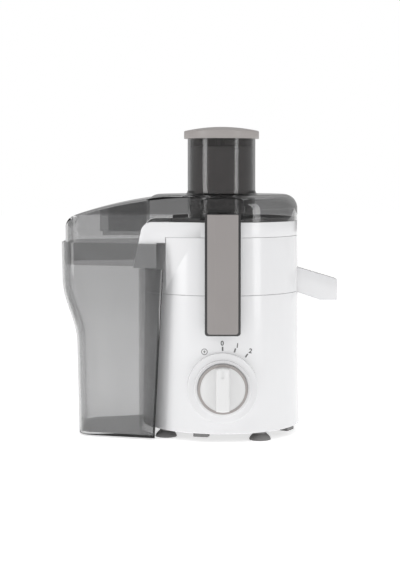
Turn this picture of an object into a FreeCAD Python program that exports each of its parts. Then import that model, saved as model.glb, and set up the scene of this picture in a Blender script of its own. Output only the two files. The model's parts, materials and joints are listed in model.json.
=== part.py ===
"""Centrifugal juicer: a round motor base, a bowl that catches the juice, a spinning filter under a
clear lid with a wide feed tube, and a pulp container that hangs at the left of the body.

Millimetres. +Z is up, the spout points to +X, the pulp container stands at -X and the control knob
faces -Y. Every piece is drawn about the motor's axis, and moved at the end so that the origin lies
on the table under the middle of the whole juicer.
"""
import math
import os

import FreeCAD
import Part

# Heights above the table
FOOT_HEIGHT = 9.5
SEAM_LOW = 161.5
SEAM_HIGH = 224.5
COLLAR_TOP = 241.5
LID_TOP = 271.5
TUBE_TOP = 334.3
CAP_HEIGHT = 14.0

# Round body
BASE_RADIUS = 90.0
COLLAR_RADIUS = 87.0
BODY_WALL = 2.5
SEAM_GAP = 0.3
DECK_DROP = 2.0
DECK_THICKNESS = 3.0
BASE_PLATE_THICKNESS = 3.0

# Teardrop plan that the collar, the lid and the pulp container share
SIDE_ANGLE = 16.0
SKIRT_GAP = 0.6
LEG_EDGE = 63.0
LEG_INNER = 72.8
LEG_REACH_TOP = 90.5
LEG_REACH_BOTTOM = 98.5
LEG_BOTTOM = 190.5
LEG_SHOULDER = 13.0
CHUTE_LIP = 230.5

# Pulp container
BIN_REACH = 181.6
BIN_STEP = 15.0
BIN_STEP_TOP = 45.0
BIN_STEP_BOTTOM = 112.0
BIN_TOP = 217.5
BIN_BOTTOM = 2.0
BIN_WALL = 2.2
BIN_FLOOR = 3.0
BIN_EDGE_TOP = 64.0
BIN_EDGE_BOTTOM = 75.0
BIN_CORNER = 24.0
BIN_BODY_GAP = 3.0

# Lid and feed tube
LID_WALL = 2.5
LID_SHOULDER = 16.0
SEAL_GAP = 0.1
SEAL_WIDTH = 3.0
SEAL_HEIGHT = 4.0
ROOF_RADIUS = 470.0
ROOF_START = 20.0
ROOF_CORNER = 18.0
HOOD_INSET = 4.4
SKIRT_DEPTH = 25.0
TUBE_RADIUS = 38.85
TUBE_WALL = 2.4
TUBE_FLARE = 3.0
PUSHER_GAP = 0.8
PUSHER_WALL = 2.2
CAP_RADIUS = 43.0
CAP_RIM = 9.0

# Clamps at the front and the rear
CLAMP_WIDTH = 39.0
CLAMP_COVER_WIDTH = 33.8
CLAMP_CORNER = 3.5
COVER_INSET = 2.0
CLAMP_BOTTOM = 118.5
CLAMP_TOP = 250.5
CLAMP_PIVOT_RISE = 5.3
CLAMP_STANDOFF = 3.6
CLAMP_PIN_RADIUS = 1.5
PIN_CLEARANCE = 0.05
CLAMP_SKIN = 2.4
CLAMP_FLANGE = 2.6
CLAMP_COVER_THICKNESS = 2.6
HOOK_HEIGHT = 3.5
HOOK_GRIP = 4.0
POCKET_WIDTH = 44.0
POCKET_DEPTH = 7.5
LEDGE_HEIGHT = 5.0

# Juice collector and spout
BOWL_RADIUS = 79.5
BOWL_WALL = 2.5
BOWL_FLOOR = 163.0
CHIMNEY_RADIUS = 19.0
CHIMNEY_HEIGHT = 19.0
SPOUT_REACH = 132.0
SPOUT_WIDTH = 26.0
SPOUT_WALL = 2.2
SPOUT_ROOF_BODY = 187.5
SPOUT_ROOF_TIP = 174.0
SPOUT_LIP = 150.5
SPOUT_BEND = 112.0
SPOUT_FLOOR_BODY = 159.1
SPOUT_NOTCH_GAP = 1.2

# Filter
FILTER_RIM_RADIUS = 70.0
FILTER_BASE_RADIUS = 50.0
FILTER_BASE = 192.5
FILTER_TOP = 234.5
FILTER_SHEET = 0.8
FILTER_FLANGE = 75.0
GRATER_RADIUS = 46.0
GRATER_TEETH_RINGS = 5

# Motor
MOTOR_BOTTOM = 28.5
MOTOR_TOP = 136.5
STATOR_RADIUS = 36.0
STATOR_HEIGHT = 42.0
ROTOR_RADIUS = 21.0
AIR_GAP = 0.8
SHAFT_RADIUS = 4.0
BEARING_RADIUS = 11.0
BEARING_HEIGHT = 7.0
SHAFT_TOP = 188.5
COUPLING_RADIUS = 12.0

# Control knob
KNOB_HEIGHT = 60.5
BOSS_RADIUS = 38.8
BOSS_PROUD = 1.6
BEZEL_RADIUS = 31.2
BEZEL_HEIGHT = 3.0
KNOB_RADIUS = 27.2
KNOB_RING_INNER = 24.6
KNOB_SKIRT = 7.0
GRIP_WIDTH = 14.6
GRIP_HEIGHT = 9.0
SPINDLE_RADIUS = 3.0
SPINDLE_INSIDE = 23.6
SWITCH_WIDTH = 26.0
SWITCH_FACE = 7.6
SWITCH_DEPTH = 22.0

# Feet and screws
FOOT_RADIUS = 12.0
FOOT_CIRCLE = 78.0
FOOT_ANGLES = (-143.5, -57.5, 57.5, 143.5)
SCREW_RADIUS = 1.6
SCREW_HEAD_RADIUS = 3.2
POST_RADIUS = 5.0
POST_CIRCLE = 77.0
POST_ANGLES = (-122.0, -38.0, 38.0, 122.0)
WRAP_ANGLES = (-106.0, -29.0, 29.0, 106.0)

# Places of the motor's screws, the cord's gland, the hood's guide walls and the container's sections
MOTOR_SCREW_CIRCLE = 30.0
MOTOR_SCREW_ANGLES = (45.0, 135.0, 225.0, 315.0)
GLAND_RADIUS = 7.0
GLAND_GAP = 0.1
CORD_RADIUS = 3.6
GLAND_X = 30.0
GLAND_Z = 32.5
GUIDE_Y = 48.0
GUIDE_REACH = 136.0
GUIDE_START = 84.0
GUIDE_BOTTOM = 226.5
BIN_STEP_SLICES = 9

# Rounding of moulded edges
EDGE_ROUND = 0.8
GRIP_ROUND = 2.2
BASE_ROUND = 2.0
SEAM_ROUND = 0.5

# General running clearances
RUNNING_GAP = 0.4
SHAFT_CLEARANCE = 0.05

# Sizes that follow from those above
TUBE_INNER = TUBE_RADIUS - TUBE_WALL
PUSHER_RADIUS = TUBE_INNER - PUSHER_GAP
BIN_INNER_ARC = BASE_RADIUS + BIN_BODY_GAP
BIN_OFFSET = SKIRT_GAP + BIN_WALL
DECK_TOP = SEAM_LOW - DECK_DROP
GRATER_TOP = FILTER_BASE + 4.0
TUBE_BOTTOM = GRATER_TOP + 7.0
COS_SIDE = math.cos(math.radians(SIDE_ANGLE))
SIN_SIDE = math.sin(math.radians(SIDE_ANGLE))


def vec(x, y, z):
    return FreeCAD.Vector(x, y, z)


def body_radius(z):
    """Outer radius of the round body, which narrows evenly from the base to the collar."""
    share = (z - FOOT_HEIGHT) / (SEAM_HIGH - FOOT_HEIGHT)
    return BASE_RADIUS + (COLLAR_RADIUS - BASE_RADIUS) * share


def disc(radius, low, high, x=0.0, y=0.0):
    return Part.makeCylinder(radius, high - low, vec(x, y, low))


def ring(outer, inner, low, high, x=0.0, y=0.0):
    return disc(outer, low, high, x, y).cut(disc(inner, low - 1.0, high + 1.0, x, y))


def block(x_low, x_high, y_low, y_high, z_low, z_high):
    size = vec(x_high - x_low, y_high - y_low, z_high - z_low)
    return Part.makeBox(size.x, size.y, size.z, vec(x_low, y_low, z_low))


def cone(radius_low, radius_high, low, high):
    return Part.makeCone(radius_low, radius_high, high - low, vec(0, 0, low))


def rod_y(radius, y_low, y_high, x, z):
    """Cylinder along Y."""
    return Part.makeCylinder(radius, y_high - y_low, vec(x, y_low, z), vec(0, 1, 0))


def rod_x(radius, x_low, x_high, y, z):
    """Cylinder along X."""
    return Part.makeCylinder(radius, x_high - x_low, vec(x_low, y, z), vec(1, 0, 0))


def solid_from(points, direction):
    """Prism of a closed polygon."""
    outline = Part.makePolygon(points + [points[0]])
    return Part.Face(outline).extrude(direction)


def prism_z(points, low, high):
    return solid_from([vec(x, y, low) for x, y in points], vec(0, 0, high - low))


def prism_y(points, y_low, y_high):
    """Prism along Y of a side outline given as (x, z)."""
    return solid_from([vec(x, y_low, z) for x, z in points], vec(0, y_high - y_low, 0))


def turned(points):
    """Solid of revolution about Z of a section given as (radius, z)."""
    outline = Part.makePolygon([vec(r, 0, z) for r, z in points + [points[0]]])
    return Part.Face(outline).revolve(vec(0, 0, 0), vec(0, 0, 1), 360)


def around(shape, angle, x=0.0, y=0.0):
    """Copy of a shape turned about a vertical line."""
    copy = shape.copy()
    copy.rotate(vec(x, y, 0), vec(0, 0, 1), angle)
    return copy


def polar(radius, angle):
    turn = math.radians(angle)
    return radius * math.cos(turn), radius * math.sin(turn)


def fuse_all(shapes):
    return shapes[0].multiFuse(shapes[1:]).removeSplitter()


def side_y(distance, x):
    """Half width of the teardrop plan at x, for a side wall that far from the motor's axis."""
    return (distance + x * SIN_SIDE) / COS_SIDE


def rounded_wire(corners, z):
    """Closed wire through corners given as (x, y, radius), with an arc at each radius above 0."""
    edges = []
    previous_end = None
    first_start = None
    count = len(corners)
    for index in range(count):
        x, y, radius = corners[index]
        here = vec(x, y, z)
        back = vec(corners[index - 1][0], corners[index - 1][1], z).sub(here).normalize()
        ahead = corners[(index + 1) % count]
        ahead = vec(ahead[0], ahead[1], z).sub(here).normalize()
        if radius > 0.0:
            half = back.getAngle(ahead) / 2.0
            start = here.add(back * (radius / math.tan(half)))
            end = here.add(ahead * (radius / math.tan(half)))
            middle_line = back.add(ahead).normalize()
            middle = here.add(middle_line * (radius / math.sin(half) - radius))
            arc = Part.Arc(start, middle, end).toShape()
        else:
            start = here
            end = here
            arc = None
        if previous_end is None:
            first_start = start
        else:
            edges.append(Part.LineSegment(previous_end, start).toShape())
        if arc is not None:
            edges.append(arc)
        previous_end = end
    edges.append(Part.LineSegment(previous_end, first_start).toShape())
    return Part.Wire(edges)


def teardrop_prism(distance, reach, right_end, corner, low, high):
    """Upright solid between two side walls that close in towards an end wall at -reach."""
    corners = [(-reach, -side_y(distance, -reach), corner),
               (right_end, -side_y(distance, right_end), 0.0),
               (right_end, side_y(distance, right_end), 0.0),
               (-reach, side_y(distance, -reach), corner)]
    return Part.Face(rounded_wire(corners, low)).extrude(vec(0, 0, high - low))


def roof_height(x, drop=0.0):
    """Height of the hood's roof, which falls away to the left along a large arc."""
    run = max(0.0, -x - ROOF_START)
    radius = ROOF_RADIUS - drop
    return LID_TOP - ROOF_RADIUS + math.sqrt(radius * radius - run * run)


def roof_solid(half_width, reach, corner, drop, low):
    """Everything under the roof's line, with a rounded corner over the end wall."""
    radius = ROOF_RADIUS - drop
    centre = vec(-ROOF_START, -half_width, LID_TOP - ROOF_RADIUS)
    corner_x = -reach + corner
    run = corner_x + ROOF_START
    corner_z = centre.z + math.sqrt((radius - corner) ** 2 - run * run)
    corner_centre = vec(corner_x, -half_width, corner_z)
    outward = corner_centre.sub(centre).normalize()
    touch = centre.add(outward * radius)
    half_way = outward.add(vec(0, 0, 1)).normalize()
    side_way = outward.add(vec(-1, 0, 0)).normalize()
    start = vec(-ROOF_START, -half_width, LID_TOP - drop)
    corner_end = vec(-reach, -half_width, corner_z)
    edges = [Part.LineSegment(vec(40.0, -half_width, LID_TOP - drop), start).toShape(),
             Part.Arc(start, centre.add(half_way * radius), touch).toShape(),
             Part.Arc(touch, corner_centre.add(side_way * corner), corner_end).toShape(),
             Part.LineSegment(corner_end, vec(-reach, -half_width, low)).toShape(),
             Part.LineSegment(vec(-reach, -half_width, low), vec(40.0, -half_width, low)).toShape(),
             Part.LineSegment(vec(40.0, -half_width, low), vec(40.0, -half_width, LID_TOP - drop)).toShape()]
    return Part.Face(Part.Wire(edges)).extrude(vec(0, 2.0 * half_width, 0))


def leg_side(gap, low):
    """Side outline (x, z) of the pulp chute's leg: flat top, round shoulder, sloping outer face."""
    top = COLLAR_TOP + gap
    reach_top = LEG_REACH_TOP + gap
    shoulder = LEG_SHOULDER
    points = [(0.0, low), (0.0, top), (-reach_top + shoulder, top)]
    for angle in (105.0, 120.0, 135.0, 150.0, 165.0):
        x, z = polar(shoulder, angle)
        points.append((-reach_top + shoulder + x, top - shoulder + z))
    points.append((-reach_top, top - shoulder))
    points.append((-LEG_REACH_BOTTOM - gap, LEG_BOTTOM))
    points.append((-LEG_REACH_BOTTOM - gap, low))
    return points


def lower_housing():
    top = SEAM_LOW - SEAM_GAP
    shell = cone(BASE_RADIUS, body_radius(top), FOOT_HEIGHT, top)
    shell = shell.makeFillet(BASE_ROUND, [edge for edge in shell.Edges if edge.BoundBox.ZMax < FOOT_HEIGHT + 0.1])
    shell = shell.makeFillet(SEAM_ROUND, [edge for edge in shell.Edges if edge.BoundBox.ZMin > top - 0.1])
    boss_front = -BASE_RADIUS - BOSS_PROUD
    boss = rod_y(BOSS_RADIUS, boss_front, -40.0, 0.0, KNOB_HEIGHT)
    boss = boss.makeFillet(EDGE_ROUND, [edge for edge in boss.Edges if edge.BoundBox.YMax < boss_front + 0.1])
    shell = shell.fuse(boss)
    inside = cone(BASE_RADIUS - BODY_WALL, body_radius(top) - BODY_WALL, FOOT_HEIGHT - 1.0, top + 1.0)
    inside = inside.fuse(rod_y(BOSS_RADIUS - BODY_WALL, boss_front + BODY_WALL, -30.0, 0.0, KNOB_HEIGHT))
    shell = shell.cut(inside)
    deck = ring(body_radius(DECK_TOP) - BODY_WALL + 0.5, CHIMNEY_RADIUS - 7.0,
                DECK_TOP - DECK_THICKNESS, DECK_TOP)
    posts = []
    for angle in POST_ANGLES:
        x, y = polar(POST_CIRCLE, angle)
        low = FOOT_HEIGHT + BASE_PLATE_THICKNESS
        post = disc(POST_RADIUS, low, DECK_TOP - 1.0, x, y)
        posts.append(post.cut(disc(SCREW_RADIUS, low - 1.0, low + 16.0, x, y)))
    shell = fuse_all([shell, deck] + posts)
    for angle in MOTOR_SCREW_ANGLES:
        x, y = polar(MOTOR_SCREW_CIRCLE, angle)
        shell = shell.cut(disc(SCREW_RADIUS + 0.4, DECK_TOP - 5.0, DECK_TOP + 1.0, x, y))
    shell = shell.cut(rod_y(SPINDLE_RADIUS + RUNNING_GAP, knob_front() - 9.0, knob_front() + 31.6, 0.0, KNOB_HEIGHT))
    shell = shell.cut(rod_y(GLAND_RADIUS, gland_wall() - 25.0, gland_wall() + 15.0, GLAND_X, GLAND_Z))
    shell = shell.cut(spout_outline(SPOUT_NOTCH_GAP, -SPOUT_WIDTH / 2.0 - SPOUT_NOTCH_GAP,
                                    SPOUT_WIDTH / 2.0 + SPOUT_NOTCH_GAP))
    return shell.fuse(clamp_block(-1)).fuse(clamp_block(1)).removeSplitter()


def pivot_place():
    """Distance from the axis and height of a clamp's hinge pin."""
    height = CLAMP_BOTTOM + CLAMP_PIVOT_RISE
    return body_radius(CLAMP_BOTTOM) + CLAMP_STANDOFF, height


def clamp_block(side):
    """Hinge block that stands out of the body behind a clamp, bored for its pin."""
    reach, height = pivot_place()
    half = CLAMP_WIDTH / 2.0 - CLAMP_FLANGE - RUNNING_GAP
    inner = body_radius(height) - BODY_WALL - 4.0
    block_low = block(-half, half, inner, reach, height - 3.0, height + 3.0)
    nose = rod_x(3.0, -half, half, reach, height)
    core = cone(body_radius(height - 10.0) - BODY_WALL, body_radius(height + 10.0) - BODY_WALL,
                height - 10.0, height + 10.0)
    piece = block_low.fuse(nose).cut(core)
    piece = piece.cut(rod_x(CLAMP_PIN_RADIUS + PIN_CLEARANCE, -half - 1.0, half + 1.0, reach, height))
    if side < 0:
        piece = around(piece, 180.0)
    return piece


def upper_housing():
    low = SEAM_LOW
    high = SEAM_HIGH
    outer = cone(body_radius(low), body_radius(high), low, high)
    shoulders = []
    for side in (-1.0, 1.0):
        tangent_x = -COLLAR_RADIUS * SIN_SIDE
        edge_x = -LEG_EDGE + 0.5
        inner = 50.0 * side
        low_radius = body_radius(low) - 0.5
        low_face = [(tangent_x, math.sqrt(low_radius ** 2 - tangent_x ** 2)),
                    (edge_x, math.sqrt(low_radius ** 2 - edge_x ** 2))]
        high_face = [(tangent_x, side_y(COLLAR_RADIUS, tangent_x) - 0.4),
                     (edge_x, side_y(COLLAR_RADIUS, edge_x) - 0.4)]
        wires = []
        for z, face in ((low, low_face), (high, high_face)):
            corners = [vec(face[0][0], face[0][1] * side, z), vec(face[1][0], face[1][1] * side, z),
                       vec(edge_x, inner, z), vec(tangent_x, inner, z)]
            wires.append(Part.makePolygon(corners + [corners[0]]))
        shoulders.append(Part.makeLoft(wires, True, True))
    shell = fuse_all([outer] + shoulders)
    shell = shell.cut(cone(body_radius(low) - BODY_WALL, body_radius(high) - BODY_WALL, low, high))
    shell = shell.cut(disc(COLLAR_RADIUS - 0.5, low - 1.0, high + 1.0).common(
        cone(body_radius(low) - BODY_WALL, body_radius(high) - BODY_WALL, low, high)))
    return shell.cut(spout_outline(SPOUT_NOTCH_GAP, -SPOUT_WIDTH / 2.0 - SPOUT_NOTCH_GAP,
                                   SPOUT_WIDTH / 2.0 + SPOUT_NOTCH_GAP))


def spout_outline(gap, y_low, y_high):
    """Side shape of the spout, from inside the bowl to its tip, grown by a gap all round."""
    slope_top = (SPOUT_ROOF_BODY - SPOUT_ROOF_TIP) / (SPOUT_REACH - COLLAR_RADIUS)
    slope_low = (SPOUT_FLOOR_BODY - SPOUT_LIP) / (SPOUT_BEND - COLLAR_RADIUS)
    inner = BOWL_RADIUS - BOWL_WALL + 0.5
    points = [(inner, SPOUT_ROOF_BODY + (COLLAR_RADIUS - inner) * slope_top + gap),
              (SPOUT_REACH + gap, SPOUT_ROOF_TIP + gap),
              (SPOUT_REACH + gap, SPOUT_LIP - gap),
              (SPOUT_BEND, SPOUT_LIP - gap),
              (inner, SPOUT_FLOOR_BODY + (COLLAR_RADIUS - inner) * slope_low - gap)]
    return prism_y(points, y_low, y_high)


def juice_collector():
    """Bowl, collar, pulp chute and spout in one moulding."""
    inner = BOWL_RADIUS - BOWL_WALL
    low_skirt = SEAM_HIGH + SEAM_GAP
    side = prism_y(leg_side(0.0, LEG_BOTTOM), -120.0, 120.0)
    round_part = disc(COLLAR_RADIUS, low_skirt, COLLAR_TOP)
    round_part = round_part.makeFillet(SEAM_ROUND, round_part.Edges)
    tangent_x = -COLLAR_RADIUS * SIN_SIDE
    wedge = teardrop_prism(COLLAR_RADIUS, 120.0, tangent_x, 5.0, low_skirt, COLLAR_TOP)
    leg = teardrop_prism(COLLAR_RADIUS, 120.0, -LEG_EDGE, 5.0, BIN_TOP + 1.0, COLLAR_TOP)
    low_leg = teardrop_prism(COLLAR_RADIUS, 120.0, -LEG_INNER, 5.0, LEG_BOTTOM, COLLAR_TOP)
    outer = fuse_all([round_part, wedge.fuse(leg).fuse(low_leg).common(side)])

    thin = COLLAR_RADIUS - BODY_WALL
    hollow_side = prism_y(leg_side(-BODY_WALL, LEG_BOTTOM - 5.0), -120.0, 120.0)
    hollow_low = LEG_BOTTOM - 1.0
    hollow = teardrop_prism(thin, 120.0, tangent_x, 4.0, hollow_low, COLLAR_TOP - BODY_WALL)
    hollow = hollow.cut(block(-LEG_EDGE - BODY_WALL, 0.0, -120.0, 120.0, hollow_low, low_skirt))
    hollow = hollow.common(hollow_side).fuse(disc(thin, low_skirt - 1.0, COLLAR_TOP - BODY_WALL))
    hollow = hollow.cut(disc(BOWL_RADIUS - 0.5, hollow_low, COLLAR_TOP))
    shell = outer.cut(hollow)
    shell = shell.cut(disc(COLLAR_RADIUS + 1.2, LEG_BOTTOM - 1.0, low_skirt - 0.1))

    opening = teardrop_prism(thin, 130.0, -30.0, 4.0, CHUTE_LIP, COLLAR_TOP + 1.0)
    opening = opening.cut(disc(BOWL_RADIUS, CHUTE_LIP, COLLAR_TOP + 1.0)).cut(
        block(-LEG_EDGE, 0.0, -120.0, 120.0, CHUTE_LIP - 1.0, COLLAR_TOP + 2.0))
    shell = shell.cut(opening)
    floor = teardrop_prism(thin + 0.5, 120.0, -LEG_EDGE + BODY_WALL, 4.0,
                           CHUTE_LIP - BODY_WALL, CHUTE_LIP).common(side)
    shell = shell.fuse(floor.cut(disc(BOWL_RADIUS - 0.5, CHUTE_LIP - 5.0, COLLAR_TOP)))

    bowl = disc(BOWL_RADIUS, BOWL_FLOOR, COLLAR_TOP).cut(disc(inner, BOWL_FLOOR + BOWL_WALL, 250.0))
    chimney = disc(CHIMNEY_RADIUS, BOWL_FLOOR, BOWL_FLOOR + CHIMNEY_HEIGHT)
    body = fuse_all([shell, bowl, chimney])
    body = body.cut(disc(inner, BOWL_FLOOR + BOWL_WALL, 250.0).cut(
        disc(CHIMNEY_RADIUS, BOWL_FLOOR, BOWL_FLOOR + CHIMNEY_HEIGHT)))
    body = body.cut(disc(CHIMNEY_RADIUS - BOWL_WALL, BOWL_FLOOR - 1.0, BOWL_FLOOR + CHIMNEY_HEIGHT + 1.0))
    gate = teardrop_prism(thin, 130.0, -LEG_EDGE, 4.0, CHUTE_LIP, COLLAR_TOP + 1.0)
    body = body.cut(gate)

    half = SPOUT_WIDTH / 2.0
    spout = spout_outline(0.0, -half, half)
    channel = spout_outline(-SPOUT_WALL, -half + SPOUT_WALL, half - SPOUT_WALL)
    mouth = block(SPOUT_BEND + 1.0, SPOUT_REACH - SPOUT_WALL, -half + SPOUT_WALL, half - SPOUT_WALL,
                  SPOUT_LIP - 1.0, SPOUT_LIP + 8.0)
    entry = block(inner - 3.0, BOWL_RADIUS + 3.0, -half + SPOUT_WALL, half - SPOUT_WALL,
                  BOWL_FLOOR + BOWL_WALL, SPOUT_ROOF_BODY - 1.0)
    body = body.fuse(spout).cut(channel).cut(mouth).cut(entry)
    return body.removeSplitter()


def lid():
    low = COLLAR_TOP + SEAM_GAP
    dome = dome_solid(COLLAR_RADIUS, LID_SHOULDER, low, LID_TOP)
    hood = hood_solid(COLLAR_RADIUS, BIN_REACH - HOOD_INSET, ROOF_CORNER, 0.0, BIN_TOP - SKIRT_DEPTH)
    outer = dome.fuse(hood)
    thin = COLLAR_RADIUS - LID_WALL
    dome_in = dome_solid(thin, LID_SHOULDER - LID_WALL, low - 1.0, LID_TOP - LID_WALL)
    hood_in = hood_solid(thin, BIN_REACH - HOOD_INSET - LID_WALL, ROOF_CORNER - LID_WALL, LID_WALL,
                         BIN_TOP - SKIRT_DEPTH - 1.0)
    inner = dome_in.fuse(hood_in)
    for side in (-1, 1):
        outer = outer.cut(pocket(side, 0.0))
        inner = inner.cut(pocket(side, LID_WALL))
    shell = outer.cut(inner)
    leg_room = prism_y(leg_side(RUNNING_GAP, LEG_BOTTOM - 20.0), -130.0, 130.0)
    shell = shell.cut(leg_room)
    guides = [guide_wall(-1.0), guide_wall(1.0)]
    shell = fuse_all([shell] + guides)
    return shell.cut(disc(TUBE_RADIUS + SHAFT_CLEARANCE, TUBE_BOTTOM - 1.0, TUBE_TOP + 1.0)).removeSplitter()


def feed_tube():
    """Wide tube above the lid, welded to its flat top."""
    tube = disc(TUBE_RADIUS, TUBE_BOTTOM, TUBE_TOP)
    flare = turned([(0.0, LID_TOP), (TUBE_RADIUS + TUBE_FLARE, LID_TOP), (TUBE_RADIUS + TUBE_FLARE * 0.3, LID_TOP + 1.2),
                    (TUBE_RADIUS, LID_TOP + TUBE_FLARE + 1.0), (0.0, LID_TOP + TUBE_FLARE + 1.0)])
    return tube.fuse(flare).cut(disc(TUBE_INNER, TUBE_BOTTOM - 1.0, TUBE_TOP + 1.0)).removeSplitter()


def lid_seal():
    """Soft ring inside the lid's lower edge, open where the hood leaves."""
    low = COLLAR_TOP + SEAM_GAP
    outer = COLLAR_RADIUS - LID_WALL - SEAL_GAP
    seal = ring(outer, outer - SEAL_WIDTH, low, low + SEAL_HEIGHT)
    seal = seal.cut(block(-130.0, -LEG_EDGE + 6.0, -130.0, 130.0, low - 1.0, low + SEAL_HEIGHT + 1.0))
    for side in (-1, 1):
        seal = seal.cut(pocket(side, LID_WALL + SEAL_GAP))
    return seal


def dome_solid(radius, shoulder, low, top):
    """Round cover with a rounded shoulder."""
    edges = [Part.LineSegment(vec(0, 0, low), vec(radius, 0, low)).toShape(),
             Part.LineSegment(vec(radius, 0, low), vec(radius, 0, top - shoulder)).toShape()]
    x, z = polar(shoulder, 45.0)
    centre_r = radius - shoulder
    centre_z = top - shoulder
    arc = Part.Arc(vec(radius, 0, centre_z), vec(centre_r + x, 0, centre_z + z), vec(centre_r, 0, top))
    edges.append(arc.toShape())
    edges.append(Part.LineSegment(vec(centre_r, 0, top), vec(0, 0, top)).toShape())
    edges.append(Part.LineSegment(vec(0, 0, top), vec(0, 0, low)).toShape())
    return Part.Face(Part.Wire(edges)).revolve(vec(0, 0, 0), vec(0, 0, 1), 360)


def hood_solid(distance, reach, corner, drop, low):
    """Hood that carries the pulp across and down into its container."""
    tangent_x = -distance * SIN_SIDE
    walls = teardrop_prism(distance, reach, tangent_x, BIN_CORNER - BIN_OFFSET, low, LID_TOP + 5.0)
    keep = block(-LEG_EDGE, 60.0, -130.0, 130.0, low - 1.0, COLLAR_TOP + SEAM_GAP)
    return walls.common(roof_solid(120.0, reach, corner, drop, low)).cut(keep)


def guide_wall(side):
    """Upright plate inside the hood that steers the pulp to the container."""
    inner = GUIDE_Y * side
    y_low = min(inner, inner + LID_WALL * side * 0.7)
    y_high = max(inner, inner + LID_WALL * side * 0.7)
    points = [(-GUIDE_REACH, GUIDE_BOTTOM), (-GUIDE_REACH, roof_height(-GUIDE_REACH, 1.0)),
              (-120.0, roof_height(-120.0, 1.0)), (-100.0, roof_height(-100.0, 1.0)),
              (-GUIDE_START, roof_height(-GUIDE_START, 1.0)), (-GUIDE_START, GUIDE_BOTTOM)]
    plate = prism_y(points, y_low, y_high)
    return plate.cut(prism_y(leg_side(RUNNING_GAP, LEG_BOTTOM - 20.0), -130.0, 130.0))


def pocket(side, grow):
    """Space in the lid's shoulder that a clamp's hook swings into."""
    half = POCKET_WIDTH / 2.0 + grow
    back = COLLAR_RADIUS - POCKET_DEPTH - grow
    low = COLLAR_TOP + LEDGE_HEIGHT - grow
    piece = block(-half, half, back, COLLAR_RADIUS + 10.0, low, LID_TOP + 10.0)
    if side < 0:
        piece = around(piece, 180.0)
    return piece


def pulp_container():
    step_top = BIN_TOP - BIN_STEP_TOP
    step_run = BIN_STEP_BOTTOM - BIN_STEP_TOP
    heights = [step_top - step_run * share / BIN_STEP_SLICES for share in range(BIN_STEP_SLICES, -1, -1)]
    floor = BIN_BOTTOM + BIN_FLOOR
    outer_wires = [bin_wire(z, 0.0) for z in [BIN_BOTTOM] + heights + [BIN_TOP]]
    inner_wires = [bin_wire(z, BIN_WALL) for z in [floor] + heights + [BIN_TOP + 5.0]]
    outer = Part.makeLoft(outer_wires, True, True)
    inner = Part.makeLoft(inner_wires, True, True)
    back_out = disc(BIN_INNER_ARC, BIN_BOTTOM - 5.0, BIN_TOP + 20.0)
    back_in = disc(BIN_INNER_ARC + BIN_WALL, BIN_BOTTOM - 5.0, BIN_TOP + 20.0)
    shell = outer.cut(back_out).cut(inner.cut(back_in))
    notch_distance = COLLAR_RADIUS + SKIRT_GAP
    notch = teardrop_prism(notch_distance, LEG_REACH_BOTTOM + 6.0, 0.0, 0.0, LEG_BOTTOM - 2.0,
                           BIN_TOP + 10.0)
    return shell.cut(notch)


def bin_step(z):
    """How far the end wall has moved in at a height: upright near the rim, a step below it."""
    top = BIN_TOP - BIN_STEP_TOP
    low = BIN_TOP - BIN_STEP_BOTTOM
    share = min(1.0, max(0.0, (top - z) / (top - low)))
    smooth = share * share * (3.0 - 2.0 * share)
    taper = (BIN_TOP - z) / BIN_TOP
    return BIN_STEP * smooth + 5.0 * taper


def bin_wire(z, inset):
    distance = COLLAR_RADIUS + BIN_OFFSET - inset
    reach = BIN_REACH - bin_step(z) - inset
    slant = (BIN_EDGE_BOTTOM - BIN_EDGE_TOP) * (BIN_TOP - z) / BIN_TOP
    right_end = -BIN_EDGE_TOP - slant - inset
    corners = [(-reach, -side_y(distance, -reach), BIN_CORNER - inset),
               (right_end, -side_y(distance, right_end), 0.0),
               (right_end, side_y(distance, right_end), 0.0),
               (-reach, side_y(distance, -reach), BIN_CORNER - inset)]
    return rounded_wire(corners, z)


def pusher_body():
    top = TUBE_TOP + 1.0
    low = TUBE_BOTTOM + 3.0
    body = disc(PUSHER_RADIUS, low, top).cut(disc(PUSHER_RADIUS - PUSHER_WALL, low + 3.0, top + 1.0))
    rib = block(-1.5, 1.5, -PUSHER_RADIUS + 0.5, -PUSHER_RADIUS + 6.0, low, TUBE_TOP - CAP_RIM)
    return body.fuse(rib).removeSplitter()


def pusher_cap():
    low = TUBE_TOP + SEAM_GAP
    rim = low + CAP_RIM
    dome_rise = CAP_HEIGHT - CAP_RIM - SEAM_GAP
    edge_r = CAP_RADIUS - 1.7
    edge_rise = dome_rise - 0.2
    ball = (edge_r ** 2 + edge_rise ** 2) / (2.0 * edge_rise)
    middle_r = edge_r * 0.5
    middle_z = rim + dome_rise - ball + math.sqrt(ball ** 2 - middle_r ** 2)
    edges = [Part.LineSegment(vec(0, 0, low), vec(CAP_RADIUS, 0, low)).toShape(),
             Part.LineSegment(vec(CAP_RADIUS, 0, low), vec(CAP_RADIUS, 0, rim - 1.5)).toShape(),
             Part.Arc(vec(CAP_RADIUS, 0, rim - 1.5), vec(CAP_RADIUS - 0.5, 0, rim - 0.3),
                      vec(edge_r, 0, rim + 0.2)).toShape(),
             Part.Arc(vec(edge_r, 0, rim + 0.2), vec(middle_r, 0, middle_z),
                      vec(0, 0, rim + dome_rise)).toShape(),
             Part.LineSegment(vec(0, 0, rim + dome_rise), vec(0, 0, low)).toShape()]
    cap = Part.Face(Part.Wire(edges)).revolve(vec(0, 0, 0), vec(0, 0, 1), 360)
    seat = disc(PUSHER_RADIUS, low - 1.0, TUBE_TOP + 1.0)
    spigot = ring(PUSHER_RADIUS - PUSHER_WALL, PUSHER_RADIUS - PUSHER_WALL - 2.0, TUBE_TOP - 8.0, low + 2.0)
    return cap.cut(seat).fuse(spigot).removeSplitter()


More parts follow.
